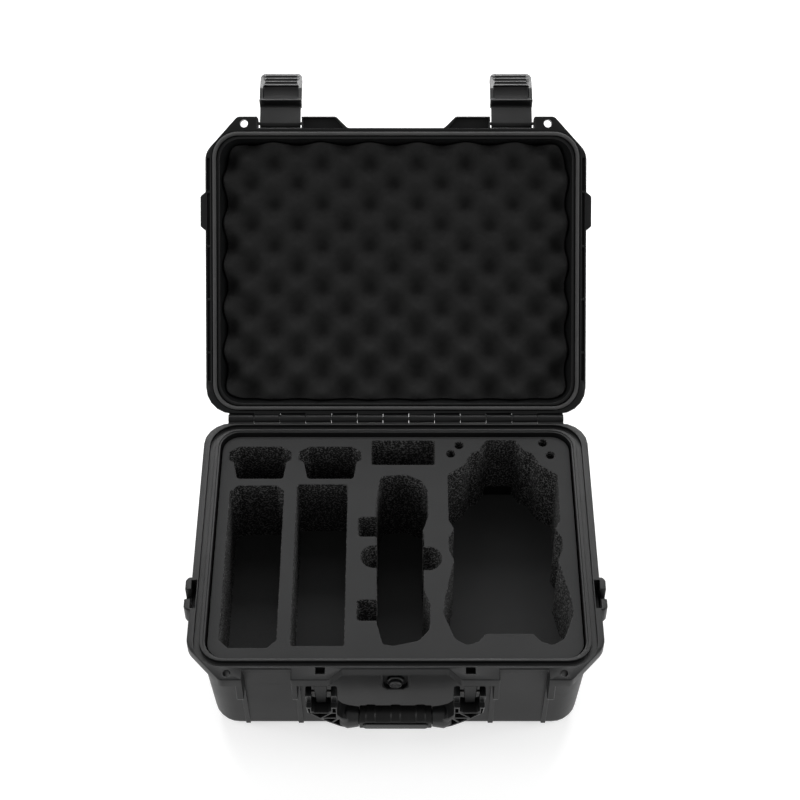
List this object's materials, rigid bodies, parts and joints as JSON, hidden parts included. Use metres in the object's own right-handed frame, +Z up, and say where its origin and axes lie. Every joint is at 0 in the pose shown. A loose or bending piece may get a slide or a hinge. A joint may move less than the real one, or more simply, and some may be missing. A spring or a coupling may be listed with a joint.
{
  "type": "drone carrying case",
  "caption": "Hard carrying case with hinged lid, draw latches, fold-down handle, purge valve, egg-crate lid foam and a foam block cut out for a folding drone and its kit.",
  "frame": {"origin": "centre of the base's flat underside", "axes": "+Z up, +X to the right along the hinge, +Y towards the hinge and the open lid, -Y towards the handle"},
  "size_m": [0.354, 0.5437, 0.2984],
  "materials": {
    "shell_plastic": "fine-grained moulded black",
    "part_plastic": "fine-grained moulded black",
    "cut_foam": "fine closed-cell foam, porous where cut",
    "egg_foam": "soft open-cell foam",
    "seal_rubber": "foamed rubber",
    "grip_rubber": "smooth soft rubber",
    "pin_steel": "blackened drawn steel"
  },
  "bodies": {
    "base": {"base_shell": "shell_plastic", "base_foam": "cut_foam", "base_floor_pad": "cut_foam", "hinge_pin": "pin_steel", "valve_body": "part_plastic", "valve_oring": "seal_rubber", "valve_nut": "part_plastic"},
    "lid": {"lid_shell": "shell_plastic", "lid_foam": "egg_foam", "lid_gasket": "seal_rubber", "latch_pin_left": "pin_steel", "latch_pin_right": "pin_steel"},
    "latch_right": {"latch_right": "part_plastic"},
    "latch_left": {"latch_left": "part_plastic"},
    "handle": {"handle_frame": "part_plastic", "handle_grip": "grip_rubber", "handle_inlay": "part_plastic", "handle_pin_left": "pin_steel", "handle_pin_right": "pin_steel"},
    "valve_knob": {"valve_knob": "part_plastic"}
  },
  "joints": [
    {"name": "lid_hinge", "type": "hinge", "parent": "base", "child": "lid", "pos_m": [0, 0.1334, 0.1152], "axis": [1, 0, 0], "range_deg": [0, 138]},
    {"name": "latch_right_hinge", "type": "hinge", "parent": "lid", "child": "latch_right", "pos_m": [0.1052, 0.34314, 0.28279], "axis": [1, 0, 0], "range_deg": [0, 110]},
    {"name": "latch_left_hinge", "type": "hinge", "parent": "lid", "child": "latch_left", "pos_m": [-0.1052, 0.34314, 0.28279], "axis": [1, 0, 0], "range_deg": [0, 110]},
    {"name": "handle_hinge", "type": "hinge", "parent": "base", "child": "handle", "pos_m": [0, -0.134, 0.088], "axis": [-1, 0, 0], "range_deg": [0, 90]},
    {"name": "valve_turn", "type": "hinge", "parent": "base", "child": "valve_knob", "pos_m": [0, -0.1222, 0.087], "axis": [0, -1, 0], "range_deg": [0, 270]}
  ]
}
